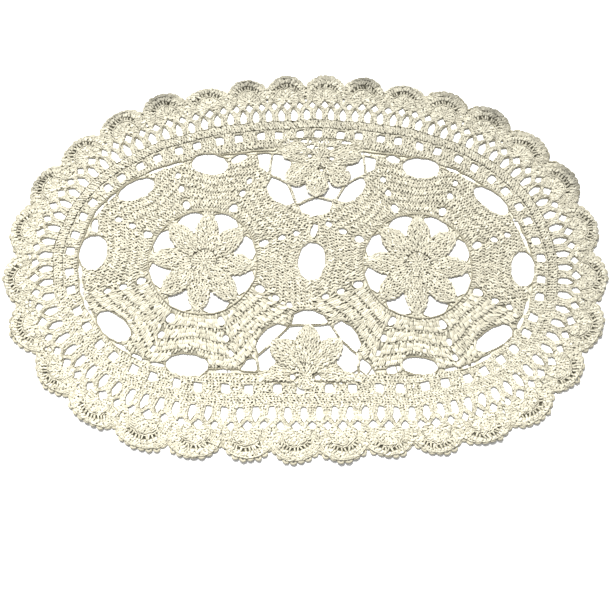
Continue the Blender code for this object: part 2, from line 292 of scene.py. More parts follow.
def rim_loops(node):
    """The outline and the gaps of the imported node, as loops of points."""
    places = {}
    number = [places.setdefault(tuple(np.round(np.array(v.co[:2]) / MM, 2)), len(places))
              for v in node.data.vertices]
    low = [v.co.z < 0.1 * MM for v in node.data.vertices]
    follows = {}
    for face in node.data.polygons:
        if all(low[v] for v in face.vertices):
            corners = [number[v] for v in face.vertices]
            for a, b in zip(corners, corners[1:] + corners[:1]):
                if (b, a) in follows:
                    del follows[(b, a)]
                else:
                    follows[(a, b)] = True
    after = dict(follows.keys())
    points = np.array(list(places))
    loops = []
    while after:
        first, here = after.popitem()
        loop = [first]
        while here != first:
            loop.append(here)
            here = after.pop(here)
        loops.append(points[loop])
    return sorted(loops, key=lambda loop: -np.ptp(loop[:, 0]))


def signed_area(loop):
    """Area of a loop, positive if it runs anticlockwise."""
    ahead = np.roll(loop, -1, axis=0)
    return 0.5 * (loop[:, 0] * ahead[:, 1] - ahead[:, 0] * loop[:, 1]).sum()


def grown(loop, by):
    """A loop pushed outwards at each of its points."""
    along = unit(np.roll(loop, -1, axis=0) - np.roll(loop, 1, axis=0))
    way = math.copysign(1, signed_area(loop))
    return loop + by * way * right_of(along)


Boxed = namedtuple("Boxed", "loops lows highs")


def boxed(loops):
    """Loops together with the corners of their boxes."""
    return Boxed(loops, np.array([loop.min(axis=0) for loop in loops]),
                 np.array([loop.max(axis=0) for loop in loops]))


def beside(points, some):
    """Those of the boxed loops whose boxes meet the box of the points."""
    near = (some.lows < points.max(axis=0)) & (some.highs > points.min(axis=0))
    return [some.loops[number] for number in np.flatnonzero(near.all(axis=1))]


def inside(points, loop):
    """Which points lie inside a loop."""
    found = np.zeros(len(points), bool)
    low, high = loop.min(axis=0), loop.max(axis=0)
    near = np.flatnonzero(((points > low) & (points < high)).all(axis=1))
    if len(near):
        x, y = points[near, :1], points[near, 1:]
        ends = np.roll(loop, -1, axis=0)
        spans = (loop[:, 1] > y) != (ends[:, 1] > y)
        rise = np.where(ends[:, 1] == loop[:, 1], 1e-9, ends[:, 1] - loop[:, 1])
        crossing = loop[:, 0] + (y - loop[:, 1]) * (ends[:, 0] - loop[:, 0]) / rise
        found[near] = (spans & (x < crossing)).sum(axis=1) % 2 == 1
    return found


def in_any(points, some):
    """Which points lie inside any of the boxed loops."""
    found = np.zeros(len(points), bool)
    if len(points):
        for loop in beside(points, some):
            found |= inside(points, loop)
    return found


def nearest_on(points, loop):
    """For each point, the nearest point of a loop."""
    run = np.roll(loop, -1, axis=0) - loop
    from_start = points[:, None] - loop[None]
    share = np.clip((from_start * run).sum(axis=2) / (run ** 2).sum(axis=1), 0, 1)
    nearest = loop[None] + share[..., None] * run
    pick = np.linalg.norm(points[:, None] - nearest, axis=2).argmin(axis=1)
    return nearest[np.arange(len(points)), pick]


def ellipse(x, y, length, width, tilt, sides=10):
    """A rounded hole."""
    angle = 2 * np.pi * np.arange(sides) / sides
    along, across = 0.5 * length * np.cos(angle), 0.5 * width * np.sin(angle)
    lean = math.radians(tilt)
    return np.stack((x + along * math.cos(lean) - across * math.sin(lean),
                     y + along * math.sin(lean) + across * math.cos(lean)), axis=-1)


def sector_holes():
    """The holes between the sectors of the medallions, on lines out from the flowers."""
    return [ellipse(*polar(medallion, angle, hole.radius), hole.length, hole.width, angle)
            for medallion in MEDALLIONS
            for angle in medallion.turn + PETAL_STEP * (np.arange(PETALS) + 0.5)
            for hole in SECTOR_HOLES]


def ring_track():
    """The chain ring's course: an oval, drawn aside to pass behind both half flowers."""
    track = oval_points(RING_OVAL, np.arange(900) / 900)
    for flower in HALF_FLOWERS:
        same_side = (track[:, 1] > 0) == (flower.y > 0)
        into_bay = np.clip((flower.reach - np.abs(track[:, 0] - flower.x)) / BAY_SHOULDER, 0, 1)
        rise = BAY_DEPTH * into_bay ** 2 * (3 - 2 * into_bay)
        track[:, 1] += math.copysign(1, flower.y) * rise * same_side
    return track


RING_TRACK = ring_track()


def ring_slits():
    """Long narrow gaps between the two cords of the chain ring."""
    loops = []
    for start in range(0, len(RING_TRACK), len(RING_TRACK) // RING_SLITS):
        (x, y), (ahead_x, ahead_y) = RING_TRACK[start], RING_TRACK[start + 1]
        tilt = math.degrees(math.atan2(ahead_y - y, ahead_x - x))
        loops.append(ellipse(x, y, *RING_SLIT_SIZE, tilt))
    return loops


def half_flower_holes():
    """Small holes beside the middles of the half flowers and behind their lying petals."""
    return [ellipse(flower.root_x + hole.x, flower.root_y + hole.y, *hole[2:])
            for flower in HALF_FLOWERS for hole in flower.holes]


def cusp_gaps():
    """A small gap between every two shells, at their feet."""
    return [border_points(shell / SHELLS, CUSP_OFFSETS, CUSP_ALONG) for shell in range(SHELLS)]


def clear_holes(holes, gaps):
    """The holes that lie on the cloth, clear of the boxed gaps and of each other."""
    clear = []
    for hole in holes:
        brim = grown(hole, HOLE_MARGIN)
        met = any(inside(brim, other).any() or inside(other, brim).any()
                  for other in beside(brim, gaps) + clear)
        if not met and inside(brim, OUTLINE).all():
            clear.append(hole)
    return clear


def nearest_of(points, places):
    """For each point, the number of the nearest of some places, and how far it is."""
    numbers, distances = [], []
    for some in np.array_split(points, max(1, len(points) // 800)):
        away = ((some[:, None] - places[None]) ** 2).sum(axis=2)
        numbers.append(away.argmin(axis=1))
        distances.append(np.sqrt(away.min(axis=1)))
    return np.concatenate(numbers), np.concatenate(distances)


def border_place(points):
    """Turn and offset of points: the nearest place on the oval of the slots."""
    numbers, distances = nearest_of(points, OVAL_TRACK)
    return OVAL_TURNS[numbers], distances * np.where(inside(points, OVAL_TRACK), -1, 1)


def distance(points, place):
    """How far points lie from the middle of a flower."""
    return np.linalg.norm(points - (place.x, place.y), axis=-1)


def opened(gap):
    """A gap as the stitches leave it: small ones, those between petals and those of the web
    chains are wider than in the node."""
    middle = gap.mean(axis=0)
    if np.ptp(gap, axis=0).max() < LARGE_GAP:
        offset = border_place(middle[None])[1][0]
        square = FILET_ROWS[0] < offset < FILET_ROWS[-1]
        return grown(gap, SQUARE_ROOM if square else SMALL_GAP_ROOM)
    for medallion in MEDALLIONS:
        if distance(middle, medallion) < RING_RADIUS:
            return grown(gap, PETAL_GAP_ROOM)
    for flower in HALF_FLOWERS:
        if distance(middle, flower) < WEB_REACH:
            return grown(gap, WEB_GAP_ROOM)
    return gap


OUTLINE, *CUT_GAPS = [loop if signed_area(loop) > 0 else loop[::-1]
                      for loop in rim_loops(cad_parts["runner"])]
HOLES = half_flower_holes() + sector_holes() + ring_slits() + cusp_gaps()
GAPS = [opened(gap) for gap in CUT_GAPS] + clear_holes(HOLES, boxed(CUT_GAPS))
GAP_HEARTS = boxed([grown(gap, -HEART_DEPTH) for gap in GAPS])
GAP_BRIMS = boxed([grown(gap, BRIM) for gap in GAPS])
FLOWER_HOLES = boxed([grown(hole, STITCH_REACH) for hole in half_flower_holes()])
EDGE = grown(OUTLINE, -np.interp(OUTLINE[:, 1:], EDGE_SPAN_Y, EDGE_INSETS))


def towards_edge(points):
    """Numbers of the points that may lie in the border's outer half."""
    return np.flatnonzero((points / INNER_ELLIPSE) ** 2 @ (1, 1) > 1)


def edge_curl(points):
    """How far the shells curl up towards their edges, more on the far side and not all alike."""
    flat = points.reshape(-1, 2)
    height = np.zeros(len(flat))
    outer = towards_edge(flat)
    outer = outer[~inside(flat[outer], OVAL_TRACK)]
    if len(outer):
        turns, offsets = border_place(flat[outer])
        swell = np.sin(np.pi * (turns * SHELLS % 1)) ** 0.7
        swell *= 1 + CURL_SPREAD * np.sin(2.4 * np.floor(turns * SHELLS))
        most = np.interp(flat[outer, 1], CURL_SPAN_Y, (NEAR_CURL, EDGE_CURL))
        height[outer] = most * swell * np.clip((offsets - SHELL_START) / CURL_WIDTH, 0, 1) ** 1.6
    return height.reshape(points.shape[:-1])


def settled(points):
    """Points moved out of the gaps, to rest just inside the cloth."""
    flat = points[..., :2].reshape(-1, 2).copy()
    for brim in beside(flat, GAP_BRIMS):
        held = np.flatnonzero(inside(flat, brim))
        if len(held):
            flat[held] = nearest_on(flat[held], brim)
    outer = towards_edge(flat)
    out = outer[~inside(flat[outer], EDGE)]
    if len(out):
        flat[out] = nearest_on(flat[out], EDGE)
    moved = points.copy()
    moved[..., :2] = flat.reshape(points.shape[:-1] + (2,))
    return moved


def swayed(points):
    """Hand work is never even: a slow drift of the rows, the same for cloth and yarn. Every
    term is a wave of so many millimetres."""
    x, y = points[..., 0], points[..., 1]
    drift_x = (0.55 * np.sin(x / 17 + 1.1) * np.cos(y / 13) + 0.4 * np.sin(y / 7.3 + x / 31)
               + 0.3 * np.sin(y / 2.3 + x / 6.1) * np.sin(x / 3.7))
    drift_y = (0.55 * np.cos(x / 15 - 0.6) * np.sin(y / 19) + 0.4 * np.sin(x / 8.1 - y / 27)
               + 0.35 * np.sin(x / 2.1 - y / 5.3) * np.cos(y / 4.3))
    moved = points.copy()
    moved[..., 0] += drift_x
    moved[..., 1] += drift_y
    return moved


def painted_falloff(points):
    """How far painted shade greys the cotton at points, in shares of the tint: a little towards
    the right and the far edge, and less than none, which is painted light, at the near edge."""
    across = np.interp(points[..., 1], *PAINTED_FALLOFF_BY_Y)
    along = np.interp(points[..., 0], *PAINTED_FALLOFF_BY_X)
    return np.minimum(across + along, MOST_PAINTED_FALLOFF)


# A stitch is made of strands. Each point of a strand is (across, up, height, radius): across
# and up are shares of the stitch's cell, height and radius are in millimetres.
BAR = (
    ((-0.30, 0.99, 1.50, 0.0), (0.12, 0.93, 2.05, 0.80), (0.88, 0.90, 2.05, 0.80),
     (1.30, 0.99, 1.50, 0.0)),
)
SHORT = (
    ((0.50, -0.30, 1.50, 0.0), (0.48, 0.00, 1.85, 1.24), (0.52, 0.68, 1.85, 1.30),
     (0.50, 1.10, 1.50, 0.0)),
) + BAR
RIB = (
    ((0.38, -0.30, 1.50, 0.0), (0.26, 0.00, 1.95, 1.24), (0.28, 0.95, 1.95, 1.24),
     (0.38, 1.30, 1.50, 0.0)),
    ((0.62, -0.30, 1.50, 0.0), (0.75, 0.00, 1.85, 1.24), (0.73, 0.95, 1.85, 1.24),
     (0.62, 1.30, 1.50, 0.0)),
)
POST = (
    ((0.50, -0.30, 1.20, 0.0), (0.44, 0.06, 1.75, 1.16), (0.56, 0.88, 1.75, 1.12),
     (0.50, 1.25, 1.20, 0.0)),
)
LINK = (
    ((0.50, -0.55, 1.40, 0.0), (0.16, 0.10, 2.05, 0.70), (0.16, 0.70, 2.05, 0.70),
     (0.58, 1.40, 1.40, 0.0)),
    ((0.50, -0.55, 1.40, 0.0), (0.84, 0.10, 1.95, 0.70), (0.84, 0.70, 1.95, 0.70),
     (0.42, 1.40, 1.40, 0.0)),
)

# How the sectors are worked: every ridge has three rows, and the stitches of as many rows as
# aligned says stand on one another.
RIDGE_ROWS = 3
SectorWork = namedtuple("SectorWork", "ridge lines pitch stitches fills lifts aligned lean")
DENSE_WORK = SectorWork(8.3, (0.0, 0.36, 0.68, 1.0), STITCH_PITCH, (SHORT, SHORT, SHORT),
                        fills=(0.90, 1.06, 1.0), lifts=(-0.25, 0.3, 0.15), aligned=1, lean=LEAN)
SPARSE_WORK = SectorWork(10.4, (0.0, 0.30, 0.65, 1.0), 3.2, (POST, RIB, RIB + BAR),
                         fills=(1.1, 1.0, 1.0), lifts=(-0.1, 0.1, 0.2), aligned=3, lean=0.12)

# The rows of a shell, outwards from its foot: a close fan, the open row and a close edge.
FAN_REACH = 125
POST_REACH = 56
POSTS_OF_FAN = 10
POST_ROW = (15.2, 19.3)
FanRow = namedtuple("FanRow", "low high count stitch lift fill")
FAN_ROWS = (
    FanRow(1.5, 4.1, 6, SHORT, 0.0, 1.15),
    FanRow(4.1, 6.8, 9, SHORT, 0.1, 1.15),
    FanRow(6.8, 9.5, 14, SHORT, 0.1, 1.15),
    FanRow(9.5, 12.2, 19, SHORT, 0.2, 1.15),
    FanRow(12.2, 15.2, 23, LINK, 0.1, 1.2),
    FanRow(15.2, 17.2, 28, LINK, 0.0, 1.2),
    FanRow(17.2, 19.3, 31, LINK, 0.1, 1.2),
    FanRow(19.3, 21.7, 32, SHORT, 0.3, 1.2),
    FanRow(21.7, 24.1, 36, SHORT, 0.1, 1.15),
    FanRow(24.1, 26.2, 42, LINK, 0.4, 1.2),
    FanRow(26.2, 28.3, 45, LINK, 0.1, 1.2),
)


class Yarn:
    """Strands of one region, gathered and then made into one mesh of closed tubes."""

    def __init__(self, name):
        self.name = name
        self.points = []
        self.quads = []
        self.tips = []
        self.quad_uvs = []
        self.tip_uvs = []
        self.tones = []
        self.count = 0

    def tubes(self, paths, radii, lift, tint):
        """Closed tubes along paths (strands, points, 3) with radii (strands, points), drawn to a
        point at both ends. Lift is how far the strands are raised as a whole, the level from which
        the depth of their painted shade is measured, and tint is each one's share of tone, less
        the painted shade over the runner and on curled rims."""
        strands, rings = paths.shape[0], paths.shape[1] - 2
        sides = TUBE_SIDES
        ahead = unit(np.gradient(paths, axis=1))
        side = unit(np.cross(ahead, (0.0, 0.0, 1.0)) + (1e-6, 0, 0))
        above = FLATNESS * np.cross(side, ahead)
        angle = 2 * np.pi * (np.arange(sides) + 0.5) / sides
        round_it = (np.cos(angle)[:, None] * side[:, 1:-1, None]
                    + np.sin(angle)[:, None] * above[:, 1:-1, None])
        rings_at = paths[:, 1:-1, None] + radii[:, 1:-1, None, None] * round_it
        ends = np.stack((paths[:, 0], paths[:, -1]), axis=1)
        points = np.concatenate((rings_at.reshape(strands, -1, 3), ends), axis=1)

        first = self.count + np.arange(strands) * points.shape[1]
        index = first[:, None, None] + np.arange(rings * sides).reshape(rings, sides)
        turned = np.roll(index, -1, axis=2)
        self.quads.append(np.stack((index[:, :-1], turned[:, :-1], turned[:, 1:],
                                    index[:, 1:]), axis=-1).reshape(-1, 4))
        self.count += points.shape[0] * points.shape[1]

        length = np.linalg.norm(np.diff(paths, axis=1), axis=2).cumsum(axis=1)
        along = np.broadcast_to(length[:, :-1, None], index.shape)
        share = np.broadcast_to(np.arange(sides) / sides, index.shape)
        corner = np.stack((along, share), axis=-1)
        beside = corner + (0, 1 / sides)
        self.quad_uvs.append(np.stack((corner[:, :-1], beside[:, :-1], beside[:, 1:],
                                       corner[:, 1:]), axis=-2).reshape(-1, 2))
        for end, tip_at, (near, far), (near_uv, far_uv) in (
                (0, 0, (turned, index), (beside, corner)),
                (-1, length[:, -1:], (index, turned), (corner, beside))):
            tip = np.broadcast_to(first[:, None] + rings * sides - end, (strands, sides))
            self.tips.append(np.stack((near[:, end], far[:, end], tip), axis=-1).reshape(-1, 3))
            tip_uv = corner[:, end] + (0, 0.5 / sides)
            tip_uv[..., 0] = tip_at
            self.tip_uvs.append(np.stack((near_uv[:, end], far_uv[:, end], tip_uv),
                                         axis=-2).reshape(-1, 2))

        # The tone carries painted shade: the lower a point lies above the strand's lift, the
        # darker, and the cotton greys with painted shade over the runner and on curled rims.
        depth = points[..., 2] - lift[:, None]
        curl = edge_curl(points[..., :2])
        painted_grey = painted_falloff(points) + CURL_PAINTED_SHADE * np.maximum(curl - NEAR_CURL, 0)
        self.tones.append(np.stack((depth, tint[:, None] - painted_grey), axis=-1).reshape(-1, 2))
        points[..., 2] += curl
        self.points.append(points.reshape(-1, 3))

    def work(self, cells, stitch, lift=0.0, sink=True, fill=1.0, slant=0.0):
        """One stitch in every cell (cells, 4 corners, 2): near left, near right, far right,
        far left. Fill is how thick the yarn is for its stitch, and slant how far the stitch
        leans."""
        if not len(cells):
            return
        lift = np.broadcast_to(np.asarray(lift, float), (len(cells),))
        wander = np.clip(DRAWS.normal(0, 1, (len(cells), 5)), -2, 2)
        near_left, near_right, far_right, far_left = (cells[:, None, at] for at in range(4))
        for strand in stitch:
            across, up, height, radius = np.array(strand).T
            lean = (slant + WANDER.lean * wander[:, 4:]) * (up[None] - 0.5)
            across = (across[None] + WANDER.across * wander[:, :1] + lean)[..., None]
            up = (up[None] + WANDER.up * wander[:, 1:2])[..., None]
            near = near_left + across * (near_right - near_left)
            far = far_left + across * (far_right - far_left)
            flat = near + up * (far - near)
            level = height[None] + lift[:, None] + WANDER.height * wander[:, 2:3]
            paths = np.concatenate((flat, level[..., None]), axis=2)
            radii = fill * radius[None] * (1 + WANDER.radius * wander[:, 3:4])
            on_cloth = np.ones(len(cells), bool)
            if sink:
                moved = settled(paths)
                on_cloth = np.linalg.norm(moved - paths, axis=2).max(axis=1) < DRAWN_ASIDE
                paths = moved
            if on_cloth.any():
                self.tubes(paths[on_cloth], radii[on_cloth], lift[on_cloth],
                           0.5 + WANDER.tint * wander[on_cloth, 2])

    def chain(self, track, width, pitch, lift):
        """A crochet chain along a track of points."""
        run = run_of(track)
        links = max(2, round(run[-1] / pitch))
        middle = points_along(track, run, np.linspace(0, run[-1], links + 1))
        aside = 0.5 * width * right_of(unit(np.gradient(middle, axis=0)))
        left, right = middle + aside, middle - aside
        cells = np.stack((left[:-1], right[:-1], right[1:], left[1:]), axis=1)
        self.work(cells, LINK, lift, sink=False)

    def cord(self, track, radius, lift, closed=False):
        """A smooth tight cord along a track of points, with a small bead at every stitch, darkened
        with painted shade taken from below its own level and a lower tint.
        """
        if closed:
            track = np.concatenate((track, track[:3]))
        run = run_of(track)
        at = np.linspace(0, run[-1], 2 * max(2, round(run[-1] / BEAD.pitch)) + 1)
        middle = points_along(track, run, at)
        bead = np.arange(len(at)) % 2
        aside = BEAD.aside * (bead - 0.5) * radius
        flat = middle - aside[:, None] * right_of(unit(np.gradient(middle, axis=0)))
        level = CORE_HIGH + lift + radius * (0.5 + BEAD.rise * bead)
        paths = np.concatenate((flat, level[:, None]), axis=1)[None]
        radii = (radius * (CORD_THIN + BEAD.swell * bead))[None]
        self.tubes(paths, radii, np.full(1, lift + CORD_PAINTED_DEPTH), np.full(1, 0.45))

    def mesh_piece(self, material):
        """The gathered tubes as an object."""
        points = (swayed(np.concatenate(self.points)) - (0, 0, LET_DOWN)) * MM
        quads, tips = np.concatenate(self.quads), np.concatenate(self.tips)
        corners = np.concatenate((quads.ravel(), tips.ravel()))
        sizes = np.repeat((4, 3), (len(quads), len(tips)))
        mesh = bpy.data.meshes.new(self.name)
        mesh.vertices.add(len(points))
        mesh.vertices.foreach_set("co", points.ravel())
        mesh.loops.add(len(corners))
        mesh.loops.foreach_set("vertex_index", corners.astype(np.int32))
        mesh.polygons.add(len(sizes))
        starts = sizes.cumsum() - sizes
        mesh.polygons.foreach_set("loop_start", starts.astype(np.int32))
        mesh.update(calc_edges=True)
        tones = mesh.uv_layers.new(name="tone")
        tones.data.foreach_set("uv", np.concatenate(self.tones)[corners].ravel())
        twist = mesh.uv_layers.new(name="yarn")
        twist.data.foreach_set("uv", np.concatenate(self.quad_uvs + self.tip_uvs).ravel())
        mesh.polygons.foreach_set("use_smooth", np.ones(len(sizes), bool))
        return add_piece(self.name, mesh, material)


def placed(name, data):
    """A new object in the scene."""
    thing = bpy.data.objects.new(name, data)
    bpy.context.scene.collection.objects.link(thing)
    return thing


def add_piece(name, mesh, material):
    """A visible piece of the runner."""
    mesh.materials.append(material)
    piece = placed(name, mesh)
    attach(piece, "root")
    return piece


def meets(points, rules):
    """Which points meet all the rules."""
    met = np.ones(len(points), bool)
    for rule in rules:
        met &= rule(points)
    return met


def kept(cells, *rules):
    """The cells whose middles lie on cloth and meet the rules."""
    middles = cells.mean(axis=1)
    on_cloth = inside(middles, OUTLINE) & ~in_any(middles, GAP_HEARTS)
    return cells[on_cloth & meets(middles, rules)]


def border_row(low, high):
    """Cells of one whole row of the border, unevenly wide."""
    count = round((OVAL_LENGTH + (low + high) * math.pi) / STITCH_PITCH)
    turns = np.arange(count + 1) / count
    turns[1:-1] += np.clip(DRAWS.normal(0, 0.14, count - 1), -0.3, 0.3) / count
    return strip(border_points(turns, low), border_points(turns, high))


def work_band(yarn):
    """The dense band with its grooves worked over on the near side, the row of small square
    holes inside it, and the rows that join these to the chain ring."""
    for low, high in zip(BAND_ROWS, BAND_ROWS[1:]):
        cells = kept(border_row(low, high))
        lift = np.interp(cells[:, 0, 1], (-80, 60), BAND_LIFTS)
        yarn.work(cells, SHORT, lift, slant=BAND_LEAN)
    for groove in BAND_GROOVES:
        row = border_row(groove - GROOVE_REACH, groove + GROOVE_REACH)
        near = row[row[:, :, 1].mean(axis=1) < GROOVE_END]
        yarn.work(kept(near), SHORT, slant=-BAND_LEAN)
    for row, (low, high) in enumerate(zip(FILET_ROWS, FILET_ROWS[1:])):
        yarn.work(kept(border_row(low, high)), SHORT, slant=BAND_LEAN * alternate(row))
    for row in range(INNER_ROWS):
        high = BASE_ROW - INNER_ROW * row
        yarn.work(kept(border_row(high - INNER_ROW, high), clear_of_ring), SHORT,
                  slant=BAND_LEAN * alternate(row))


def clear_of_ring(points):
    """Which points lie outside the chain ring, clear of it, or in a half flower's bay."""
    return ~inside(points, grown(RING_TRACK, CLEAR_OF_RING))


def inside_ring(points):
    """Which points lie inside the chain ring."""
    return inside(points, grown(RING_TRACK, -CLEAR_OF_RING))


def clear_of_half_flowers(points):
    """Which points lie outside both half flowers."""
    return np.all([distance(points, flower) > flower.reach for flower in HALF_FLOWERS], axis=0)


def work_posts(yarn):
    """Groups of tall posts between the slots, drawn together at their waists."""
    cells = []
    for loop in range(LOOPS):
        lines = [border_points((loop + 0.5) / LOOPS, offset, reach * np.linspace(-1, 1, 5))
                 for offset, reach in zip(POST_OFFSETS, POST_REACHES)]
        cells += [strip(near, far) for near, far in zip(lines, lines[1:])]
    yarn.work(np.concatenate(cells), SHORT, 0.1)


def work_loops(yarn):
    """The chain loops on the posts: each rises over a group and dips above the slots."""
    share = np.linspace(0, 1, 9)
    for loop in range(LOOPS):
        track = border_points((loop + share) / LOOPS, LOOP_LOW + LOOP_RISE * np.abs(2 * share - 1))
        yarn.chain(track, width=1.9, pitch=2.6, lift=0.5)
        yarn.chain(border_points((loop + LOOP_JOIN_AT) / LOOPS, LOOP_JOIN_OFFSETS), width=2.2,
                   pitch=2.4, lift=0.1)


def fan_points(shell, angles, radius):
    """Points at angles and a distance round the foot of a shell."""
    lean = np.radians(angles)
    return border_points((shell + 0.5) / SHELLS, FAN_FOOT + radius * np.cos(lean),
                         radius * np.sin(lean))


def fan_row(shell, angles, low, high):
    """Cells between two distances from the foot of a shell."""
    return strip(fan_points(shell, angles, low), fan_points(shell, angles, high))


def work_shells(yarn, shells):
    """The fans of the edge: close rows, and the posts of the open row between them."""
    for shell in shells:
        def own(points):
            turns = border_place(points)[0]
            return np.abs((turns - (shell + 0.5) / SHELLS + 0.5) % 1 - 0.5) < 0.5 / SHELLS

        def beside_posts(points):
            foot = fan_points(shell, 0.0, 0.0)
            radius = np.linalg.norm(points - foot, axis=1)
            facing = ((points - foot) * unit(fan_points(shell, 0.0, 1.0) - foot)).sum(axis=1)
            return ((facing / radius < math.cos(math.radians(POST_REACH)))
                    | (radius < POST_ROW[0]) | (radius > POST_ROW[1]))

        for number, row in enumerate(FAN_ROWS):
            posts = np.arange(row.count + 1) + 0.5 * (number % 2)
            angles = FAN_REACH * (2 * posts / row.count - 1)
            cells = kept(fan_row(shell, angles, row.low, row.high), own, beside_posts)
            if row.stitch is LINK:
                cells = np.roll(cells, -1, axis=1)
            yarn.work(cells, row.stitch, row.lift, fill=row.fill,
                      slant=FAN_LEAN * alternate(number))
        angles = np.linspace(-POST_REACH, POST_REACH, POSTS_OF_FAN + 1)
        angles += np.clip(DRAWS.normal(0, 1.6, len(angles)), -3, 3)
        yarn.work(fan_row(shell, angles, *POST_ROW), POST)


def valley_rise(medallion, angles):
    """How far up the rows' peaks each angle is: 0 behind a petal, 1 on a line of holes."""
    from_valley = (np.asarray(angles) - medallion.turn + PETAL_STEP / 2) % PETAL_STEP
    return np.abs(from_valley / (PETAL_STEP / 2) - 1) ** 1.4


def in_sparse(medallion, points):
    """Which points lie in the directions worked in tall posts."""
    angles = np.degrees(np.arctan2(points[:, 1] - medallion.y, points[:, 0] - medallion.x))
    return (angles - medallion.turn - SPARSE_FROM) % 360 < SPARSE_SWEEP


def work_sectors(yarn, medallion):
    """The wavy rows round a whole flower, out to the chain ring."""
    def own(points):
        return (points[:, 0] - MEETING_X) * math.copysign(1, medallion.x) > -1.6

    for worked, tall in ((SPARSE_WORK, True), (DENSE_WORK, False)):
        for row in range(round(SECTOR_REACH / worked.ridge) * RIDGE_ROWS):
            ridge, part = divmod(row, RIDGE_ROWS)
            edges_at = worked.ridge * (ridge + np.array(worked.lines[part:part + 2]))
            count = round(2 * np.pi * (SECTOR_START + worked.ridge * (ridge + 0.5)) / worked.pitch)
            turned = row // worked.aligned % 2
            angles = medallion.turn + (np.arange(count + 1) + 0.5 * turned) * 360 / count
            rise = valley_rise(medallion, angles)
            edges = [polar(medallion, angles, SECTOR_START + out + rise * peak)
                     for out, peak in zip(edges_at, np.interp(edges_at, PEAKS_AT, SECTOR_PEAK))]
            cells = kept(strip(*edges), own, inside_ring, clear_of_half_flowers)
            cells = cells[in_sparse(medallion, cells.mean(axis=1)) == tall]
            yarn.work(cells, worked.stitches[part], worked.lifts[part], fill=worked.fills[part],
                      slant=worked.lean * alternate(turned))
    yarn.cord(polar(medallion, np.linspace(0, 360, 240), RING_RADIUS), 1.0, lift=0.5)


def off_holes(points):
    """Which points leave the small holes of the half flowers open."""
    return ~in_any(points, FLOWER_HOLES)


def petal_edge(radius, tip, widest, overlap):
    """Half width of a petal at a distance from its flower's middle."""
    share = np.clip((radius - PETAL_WIDEST) / (tip - PETAL_WIDEST), 0, 1)
    beside_next = np.asarray(radius) * math.tan(math.radians(PETAL_STEP / 2)) + overlap
    return np.minimum(beside_next, 0.9 + widest * np.sqrt(1 - share ** 2.2))


def work_petal(yarn, flower, angle, tip, lift, widest=10.4, overlap=0.9, rules=()):
    """One domed petal in rows across it, with a worked edge. Overlap is how far it reaches
    over the next one, and the rules are those of kept()."""
    rows = round((tip - PETAL_START) / PETAL_ROW)
    lines = np.linspace(PETAL_START, tip, rows + 1)

    def beside_middle(half, reach):
        return polar(flower, angle + np.degrees(np.arctan2(half, reach)), np.hypot(half, reach))

    def across(radius, count):
        side = np.linspace(-1, 1, count + 1)
        return beside_middle(petal_edge(radius, tip, widest, overlap) * side,
                             radius - PETAL_BOW * side ** 2 + 0.5 * PETAL_BOW)

    for row in range(rows):
        wide = petal_edge(0.5 * (lines[row] + lines[row + 1]), tip, widest, overlap)
        count = max(2, round(2 * wide / STITCH_PITCH) + row % 2)
        cells = strip(across(lines[row], count), across(lines[row + 1], count))
        side = np.linspace(-1, 1, 2 * count + 1)[1::2]
        dome = lift + PETAL_DOME * (1 - side ** 2) * math.sin(math.pi * (row + 0.8) / (rows + 1))
        met = meets(cells.mean(axis=1), rules)
        yarn.work(cells[met], SHORT, dome[met], sink=False, slant=LEAN * alternate(row))
    for way in (-1, 1):
        radii = np.linspace(PETAL_WIDEST - 4, tip, 14)
        track = beside_middle(petal_edge(radii, tip, widest, overlap) * way,
                              radii - 0.5 * PETAL_BOW)
        met = meets(track, rules)
        if met.sum() > 3:
            yarn.cord(track[met], 0.55, lift=lift)


def work_hub(yarn, flower):
    """The round middle of a flower: every row has six stitches more than the one before."""
    for row, (low, high, lift) in enumerate(zip(HUB_LINES, HUB_LINES[1:], HUB_LIFTS)):
        angles = np.linspace(0, 360, HUB_STITCHES * (row + 1) + 1)
        cells = round_row(flower, angles, low, high)
        yarn.work(cells[off_holes(cells.mean(axis=1))], SHORT, lift + flower.hub_lift, sink=False)


def work_flower(yarn, medallion):
    """A whole flower: eight petals, every other one a little higher, and its middle."""
    for petal in range(PETALS):
        angle = medallion.turn + PETAL_STEP * petal
        angles = angle + np.linspace(-STEM_HALF, STEM_HALF, 5)
        for near, far in STEM_ROWS:
            yarn.work(round_row(medallion, angles, near, far), SHORT, sink=False)
        work_petal(yarn, medallion, angle, TIP_REACH, 0.2 + 0.7 * (petal % 2))
    work_hub(yarn, medallion)


def work_half_flower(yarn, flower):
    """A half flower: three petals on the web chain, two lying along the band, and between
    these a fill of short rows."""
    def behind(points):
        return border_place(points)[1] < BASE_ROW - 2.0

    root = Medallion(flower.root_x, flower.root_y, turn=0.0, hub_lift=0.0)
    for row in range(FILL_ROWS):
        low, high = PETAL_START + PETAL_ROW * row, PETAL_START + PETAL_ROW * (row + 1)
        count = round(2 * np.pi * 0.5 * (low + high) / STITCH_PITCH)
        angles = (np.arange(count + 1) + 0.5 * (row % 2)) * 360 / count
        yarn.work(kept(round_row(root, angles, low, high), behind), SHORT, -0.3)
    web = polar(flower, flower.web_angles, flower.web_radii)
    for (tip_x, tip_y), lift in zip(web[2:-1:2] - (root.x, root.y), (0.7, 1.5, 0.7)):
        work_petal(yarn, root, math.degrees(math.atan2(tip_y, tip_x)), math.hypot(tip_x, tip_y),
                   lift, overlap=APART, rules=(off_holes,))
    for angle, reach in flower.lying:
        work_petal(yarn, root, angle, reach, 0.4, 7.6, rules=(behind, off_holes))
    work_hub(yarn, root)
    yarn.cord(web, 0.65, 0.2)


